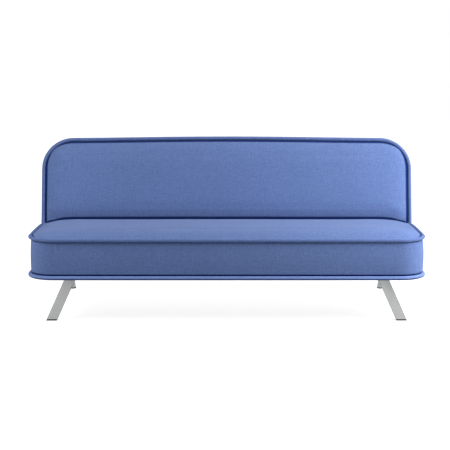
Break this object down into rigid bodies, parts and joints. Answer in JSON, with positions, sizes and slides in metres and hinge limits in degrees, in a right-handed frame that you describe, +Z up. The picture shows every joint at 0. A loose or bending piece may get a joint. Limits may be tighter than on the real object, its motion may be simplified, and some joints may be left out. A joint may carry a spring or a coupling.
{
  "type": "futon sofa bed",
  "caption": "Armless sofa bed with one long piped seat cushion, a folding piped backrest on click-clack hinges, and splayed metal legs.",
  "frame": {"origin": "centre of the overall box, on the floor", "axes": "+X to the right along the width as seen from the front, +Y from the front to the back, +Z up"},
  "size_m": [1.83, 0.8468, 0.806],
  "materials": {
    "cover_cloth": "matte",
    "piping_cloth": "matte",
    "foam": "matte",
    "dust_cloth": "matte",
    "slat_wood": "satin",
    "pocket_plastic": "matte",
    "glide_plastic": "matte",
    "bright_zinc": "satin",
    "front_leg_metal": "satin",
    "rear_leg_chrome": "polished",
    "spacer_rubber": "matte",
    "hinge_steel": "satin",
    "zip_tape": "matte",
    "zip_metal": "satin",
    "frame_paint": "satin"
  },
  "bodies": {
    "base": {"seat_cover": "cover_cloth", "seat_piping_upper": "piping_cloth", "seat_piping_lower": "piping_cloth", "seat_foam": "foam", "dust_cover": "dust_cloth", "front_rail": "frame_paint", "rear_rail": "frame_paint", "side_rail_left": "frame_paint", "side_rail_right": "frame_paint", "leg_rail_left": "frame_paint", "leg_rail_right": "frame_paint", "cross_rails": "frame_paint", "seat_slats": "slat_wood", "seat_slat_pockets": "pocket_plastic", "front_leg_left": "front_leg_metal", "front_leg_right": "front_leg_metal", "front_leg_plates": "frame_paint", "front_glide_left": "glide_plastic", "front_glide_right": "glide_plastic", "front_leg_bolts": "bright_zinc", "front_leg_nuts": "bright_zinc", "rear_leg_left": "rear_leg_chrome", "rear_leg_right": "rear_leg_chrome", "rear_leg_bar_left": "frame_paint", "rear_leg_bar_right": "frame_paint", "rear_leg_spacers": "spacer_rubber", "rear_glide_left": "glide_plastic", "rear_glide_right": "glide_plastic", "rear_leg_bolts": "bright_zinc", "rear_leg_nuts": "bright_zinc", "hinge_arm_left": "hinge_steel", "hinge_arm_right": "hinge_steel", "hinge_arm_bolts": "bright_zinc", "hinge_pin_left": "bright_zinc", "hinge_pin_right": "bright_zinc", "hinge_nuts": "bright_zinc", "pawl_pins": "bright_zinc", "pawl_springs": "bright_zinc"},
    "backrest": {"back_cover": "cover_cloth", "back_piping_front": "piping_cloth", "back_piping_rear": "piping_cloth", "back_foam": "foam", "back_top_rail": "frame_paint", "back_bottom_rail": "frame_paint", "back_upright_left": "frame_paint", "back_upright_right": "frame_paint", "back_inner_rails": "frame_paint", "back_slats": "slat_wood", "back_slat_pockets": "pocket_plastic", "back_plate_left": "hinge_steel", "back_plate_right": "hinge_steel", "back_plate_bolts": "bright_zinc", "rear_zip": "zip_tape", "zip_pull": "zip_metal"},
    "pawl_left": {"pawl_left": "hinge_steel"},
    "pawl_right": {"pawl_right": "hinge_steel"}
  },
  "joints": [
    {"name": "backrest_fold", "type": "hinge", "parent": "base", "child": "backrest", "pos_m": [0, 0.16006, 0.308], "axis": [-1, 0, 0], "range_deg": [-10, 76]},
    {"name": "pawl_left_lift", "type": "hinge", "parent": "base", "child": "pawl_left", "pos_m": [-0.785, 0.10006, 0.298], "axis": [1, 0, 0], "range_deg": [0, 12], "stiffness_Nm_per_rad": 0.06, "springref_deg": -17.19},
    {"name": "pawl_right_lift", "type": "hinge", "parent": "base", "child": "pawl_right", "pos_m": [0.785, 0.10006, 0.298], "axis": [1, 0, 0], "range_deg": [0, 12], "stiffness_Nm_per_rad": 0.06, "springref_deg": -17.19}
  ]
}
